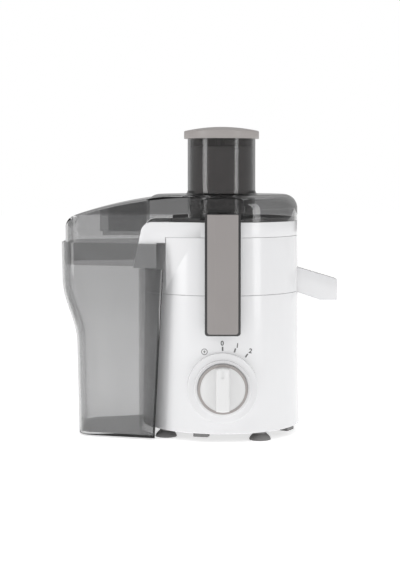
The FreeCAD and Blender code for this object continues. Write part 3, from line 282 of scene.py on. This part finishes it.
def clear_plastic(name, colour, roughness):
    """Clear plastic whose tint deepens where the wall is seen edge-on, as light then crosses more of it."""
    material, nodes, links = start_material(name)
    shader = add_grain(material, colour, roughness, 300.0, 0.04, 0.0)
    body = shader.inputs["Base Color"].links[0].from_socket
    slant = nodes.new("ShaderNodeLayerWeight")
    slant.inputs["Blend"].default_value = 0.5
    deeper = nodes.new("ShaderNodeMath")
    deeper.operation = "POWER"
    deeper.inputs[1].default_value = EDGE_DEPTH
    links.new(slant.outputs["Facing"], deeper.inputs[0])
    blend = nodes.new("ShaderNodeMix")
    blend.data_type = "RGBA"
    links.new(deeper.outputs[0], blend.inputs["Factor"])
    links.new(body, blend.inputs[6])
    blend.inputs[7].default_value = (*[channel * EDGE_TINT for channel in colour], 1.0)
    links.new(blend.outputs[2], shader.inputs["Base Color"])
    shader.inputs["Transmission Weight"].default_value = 1.0
    shader.inputs["IOR"].default_value = 1.45
    return material


def metal(name, colour, roughness, scale, bump):
    material = start_material(name)[0]
    shader = add_grain(material, colour, roughness, scale, 0.08, bump)
    shader.inputs["Metallic"].default_value = 1.0
    return material


WHITE = moulded_plastic("white_gloss_plastic", (0.77, 0.77, 0.78), 0.2, coat=0.35)
DIAL_WHITE = moulded_plastic("white_satin_plastic", (0.74, 0.74, 0.74), 0.34)
PLATE_TAUPE = moulded_plastic("clamp_plate_grey", (0.285, 0.266, 0.26), 0.36, variation=0.05)
BASE_GREY = moulded_plastic("underside_grey_plastic", (0.17, 0.168, 0.168), 0.5, bump=0.15)
TAUPE = moulded_plastic("warm_grey_plastic", (0.345, 0.32, 0.31), 0.36, variation=0.05)
CHARCOAL = moulded_plastic("charcoal_plastic", (0.035, 0.034, 0.035), 0.4, bump=0.15)
SMOKE = clear_plastic("smoky_clear_plastic", (0.595, 0.595, 0.597), 0.02)
TUBE_SMOKE = clear_plastic("smoky_pusher_plastic", (0.505, 0.485, 0.478), 0.04)
RUBBER = moulded_plastic("grey_rubber", (0.21, 0.205, 0.205), 0.55, scale=1500.0, variation=0.12, bump=0.3)
STEEL = metal("brushed_filter_steel", (0.62, 0.62, 0.63), 0.28, 1200.0, 0.1)
CAST = metal("cast_bracket_metal", (0.5, 0.5, 0.51), 0.45, 400.0, 0.3)
IRON = metal("laminated_iron", (0.18, 0.18, 0.19), 0.5, 700.0, 0.3)
COPPER = metal("enamelled_copper", (0.62, 0.26, 0.12), 0.35, 1500.0, 0.4)
CARBON = moulded_plastic("pressed_carbon", (0.03, 0.03, 0.03), 0.6, bump=0.3)
PRINT = moulded_plastic("printed_grey_ink", (0.12, 0.12, 0.12), 0.5, bump=0.0)


# %% [markdown]
# The filter's wall is thin steel etched with rows of fine holes. Hundreds of true holes would cost many faces, so
# a regular cell pattern dents the steel where each hole is and paints it near-black, as painted shade for the dim
# inside seen through it.

# %% Etched filter steel
HOLE_ROWS = 620.0
HOLE_SIZE = 0.3


def etched_steel(name):
    material, nodes, links = start_material(name)
    shader = nodes["Principled BSDF"]
    place = nodes.new("ShaderNodeTexCoord")
    cells = nodes.new("ShaderNodeTexVoronoi")
    cells.inputs["Scale"].default_value = HOLE_ROWS
    cells.inputs["Randomness"].default_value = 0.0
    links.new(place.outputs["Object"], cells.inputs["Vector"])
    hole = nodes.new("ShaderNodeMath")
    hole.operation = "GREATER_THAN"
    hole.inputs[1].default_value = HOLE_SIZE
    links.new(cells.outputs["Distance"], hole.inputs[0])
    # Painted shade: each hole gets a near-black colour for the shaded inside of the basket, and the steel between
    # keeps its own grey.
    hole_shade = nodes.new("ShaderNodeMix")
    hole_shade.data_type = "RGBA"
    hole_shade.inputs[6].default_value = (0.05, 0.05, 0.05, 1.0)
    hole_shade.inputs[7].default_value = (0.62, 0.62, 0.63, 1.0)
    links.new(hole.outputs[0], hole_shade.inputs["Factor"])
    links.new(hole_shade.outputs[2], shader.inputs["Base Color"])
    dent = nodes.new("ShaderNodeBump")
    dent.inputs["Strength"].default_value = 0.4
    dent.inputs["Distance"].default_value = 0.0003
    links.new(hole.outputs[0], dent.inputs["Height"])
    links.new(dent.outputs["Normal"], shader.inputs["Normal"])
    shader.inputs["Metallic"].default_value = 1.0
    shader.inputs["Roughness"].default_value = 0.3
    return material


ETCHED = etched_steel("etched_filter_steel")
FINISHES = {
    "white_plastic": WHITE, "smoke_plastic": SMOKE, "taupe_plastic": TAUPE, "dark_plastic": CHARCOAL,
    "rubber": RUBBER, "steel": STEEL, "cast_bracket": CAST, "core_iron": IRON, "copper": COPPER, "carbon": CARBON,
}
OWN_FINISH = {"pusher_body": TUBE_SMOKE, "knob": DIAL_WHITE, "filter_basket": ETCHED, "base_plate": BASE_GREY,
              "front_clamp_cover": PLATE_TAUPE, "rear_clamp_cover": PLATE_TAUPE}

# %% [markdown]
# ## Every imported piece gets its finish
# The record names one slot per node, so one loop dresses them all, and the few that differ are looked up by name.

# %% Dress the frame
SLOTS = {row["node"]: row["material_slot"] for row in frame["record"]["subparts"]}


def node_object(node):
    return frame["nodes"][node]


def dress(node):
    piece = node_object(node)
    finish = OWN_FINISH.get(node, FINISHES[SLOTS[node]])
    if piece.data.materials:
        piece.data.materials[0] = finish
    else:
        piece.data.materials.append(finish)
    for slot in piece.material_slots:
        slot.material = finish


for node_name in SLOTS:
    dress(node_name)
print("dressed", len(SLOTS), "nodes")

# %% [markdown]
# ## Edges that a mould rounds
# A moulded edge is never knife-sharp: a radius of half a millimetre catches a thin line of light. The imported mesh
# is loose triangles, so a copy is merged first, its flat faces are joined, and a bevel rounds the sharp edges.
# The copy then stands for the node in the picture, while the node itself stays for the physics.

# %% Softened copies
SOFT_EDGES = {"juice_collector": 0.6, "front_clamp_arm": 0.7, "rear_clamp_arm": 0.7, "pusher_cap": 0.5}
SHARP = math.radians(38.0)
FLAT = math.radians(0.4)
MERGE = 0.002 * MM
BODY_OF = {node: body for body, nodes in frame["record"]["behaviour"]["bodies"].items() for node in nodes}


def copy_node(node):
    """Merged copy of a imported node, selected and active."""
    bpy.ops.object.select_all(action="DESELECT")
    piece = node_object(node).copy()
    piece.data = piece.data.copy()
    piece.name = node + "_soft"
    piece.parent = None
    bpy.context.collection.objects.link(piece)
    piece.hide_set(False)
    piece.select_set(True)
    bpy.context.view_layer.objects.active = piece
    bpy.ops.object.mode_set(mode="EDIT")
    bpy.ops.mesh.select_all(action="SELECT")
    bpy.ops.mesh.remove_doubles(threshold=MERGE)
    bpy.ops.mesh.dissolve_limited(angle_limit=FLAT)
    bpy.ops.object.mode_set(mode="OBJECT")
    return piece


def soften(node, width):
    piece = copy_node(node)
    bevel = piece.modifiers.new("mould_radius", "BEVEL")
    bevel.width = width * MM
    bevel.segments = 2
    bevel.limit_method = "ANGLE"
    bevel.angle_limit = SHARP
    bpy.ops.object.modifier_apply(modifier=bevel.name)
    bpy.ops.object.shade_smooth_by_angle(angle=SHARP)
    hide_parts(node)
    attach(piece, BODY_OF[node])
    return piece


for node_name, radius in SOFT_EDGES.items():
    softened = soften(node_name, radius)
    print(softened.name, "faces", len(softened.data.polygons))

# %% [markdown]
# ## The printed marks of the dial
# Ink on a real dial is a film on the curved wall. Each mark is made flat: numerals as text turned into a mesh,
# ticks and the pulse symbol as thin shapes. Then every corner is laid on the wall, which is a narrow cone,
# so the ink follows it. The places are given from the knob's middle, across and up, in millimetres.

# %% Ink on the wall
WALL_LOW_RADIUS = (HOUSING_HIGH.x - HOUSING_LOW.x) / 2.0
WALL_TOP_RADIUS = (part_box("upper_housing")[1][0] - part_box("upper_housing")[0][0]) / 2.0
INK = 0.08 * MM
TICK_WIDTH, TICK_LENGTH = 1.7 * MM, 4.6 * MM
NUMERAL_SIZE = 7.0 * MM
NUMERAL_WEIGHT = 0.22 * MM


def wall_radius(height):
    share = (height - HOUSING_LOW.z) / (HOUSING_HIGH.z - HOUSING_LOW.z)
    return WALL_LOW_RADIUS + (WALL_TOP_RADIUS - WALL_LOW_RADIUS) * share


def lay_on_wall(piece, across, up, turn):
    """Turn a flat mark, move it, and lay it on the curved wall."""
    angle = math.radians(-turn)
    for corner in piece.data.vertices:
        x = corner.co.x * math.cos(angle) - corner.co.y * math.sin(angle) + across * MM
        z = corner.co.x * math.sin(angle) + corner.co.y * math.cos(angle) + up * MM + KNOB.z
        wall = math.sqrt(wall_radius(z) ** 2 - x ** 2)
        corner.co = (AXIS.x + x, AXIS.y - wall - INK - corner.co.z, z)
    piece.data.materials.clear()
    piece.data.materials.append(PRINT)
    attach(piece, "housing")
    return piece


def begin(name):
    piece = bpy.context.object
    piece.name = name
    return piece


def settle(piece):
    bpy.ops.object.select_all(action="DESELECT")
    piece.select_set(True)
    bpy.context.view_layer.objects.active = piece
    bpy.ops.object.transform_apply(location=True, rotation=True, scale=True)


def numeral(letter, across, up, turn):
    bpy.ops.object.select_all(action="DESELECT")
    bpy.ops.object.text_add(location=(0.0, 0.0, 0.0))
    piece = begin("dial_numeral_" + letter)
    piece.data.body = letter
    piece.data.size = NUMERAL_SIZE
    piece.data.align_x = "CENTER"
    piece.data.align_y = "CENTER"
    piece.data.offset = NUMERAL_WEIGHT
    piece.data.extrude = INK
    bpy.ops.object.convert(target="MESH")
    settle(bpy.context.object)
    return lay_on_wall(bpy.context.object, across, up, turn)


def tick(name, across, up, turn):
    bpy.ops.object.select_all(action="DESELECT")
    bpy.ops.mesh.primitive_cube_add(size=1.0, scale=(TICK_WIDTH, TICK_LENGTH, INK * 2.0))
    piece = begin(name)
    settle(piece)
    bevel = piece.modifiers.new("rounded_ends", "BEVEL")
    bevel.width = TICK_WIDTH * 0.3
    bevel.segments = 3
    bevel.affect = "EDGES"
    bevel.limit_method = "ANGLE"
    bpy.ops.object.modifier_apply(modifier=bevel.name)
    return lay_on_wall(piece, across, up, turn)


for letter, across, up, turn in (("0", -0.4, 49.0, 0.0), ("1", 16.2, 46.4, 6.0), ("2", 30.6, 40.0, 14.0)):
    numeral(letter, across, up, turn)
for letter, across, up, turn in (("0", 0.0, 43.2, 0.0), ("1", 13.5, 41.3, 17.0), ("2", 26.3, 35.3, 35.0)):
    tick("dial_tick_" + letter, across, up, turn)
print("wall radius at the dial", wall_radius(KNOB.z))

# %% [markdown]
# The pulse position is shown by a small ring with a spark in it. The ring is a flat band: a filled circle is
# inset and its middle is taken out. The spark is a zigzag outline, filled and given the ink's thickness.

# %% Pulse symbol
RING_RADIUS = 3.5 * MM
RING_BAND = 0.7 * MM
PULSE_PLACE = (-19.9, 39.6)
SPARK = [(0.6, 2.3), (-1.5, -0.3), (-0.2, -0.3), (-0.7, -2.3), (1.5, 0.5), (0.2, 0.5)]


def pulse_ring(across, up):
    bpy.ops.object.select_all(action="DESELECT")
    bpy.ops.mesh.primitive_circle_add(vertices=40, radius=RING_RADIUS, fill_type="NGON")
    piece = begin("pulse_ring")
    bpy.ops.object.mode_set(mode="EDIT")
    bpy.ops.mesh.select_all(action="SELECT")
    bpy.ops.mesh.inset(thickness=RING_BAND)
    bpy.ops.mesh.delete(type="FACE")
    bpy.ops.object.mode_set(mode="OBJECT")
    give_thickness(piece)
    return lay_on_wall(piece, across, up, 0.0)


def give_thickness(piece):
    skin = piece.modifiers.new("ink", "SOLIDIFY")
    skin.thickness = INK * 2.0
    skin.offset = 0.0
    bpy.ops.object.modifier_apply(modifier=skin.name)


def pulse_spark(across, up):
    bpy.ops.object.select_all(action="DESELECT")
    bpy.ops.mesh.primitive_circle_add(vertices=len(SPARK), radius=RING_RADIUS * 0.5, fill_type="NGON")
    piece = begin("pulse_spark")
    for corner, (x, y) in zip(piece.data.vertices, SPARK):
        corner.co = (x * MM, y * MM, 0.0)
    give_thickness(piece)
    return lay_on_wall(piece, across, up, 0.0)


pulse_ring(*PULSE_PLACE)
pulse_spark(*PULSE_PLACE)
print("dial marked")
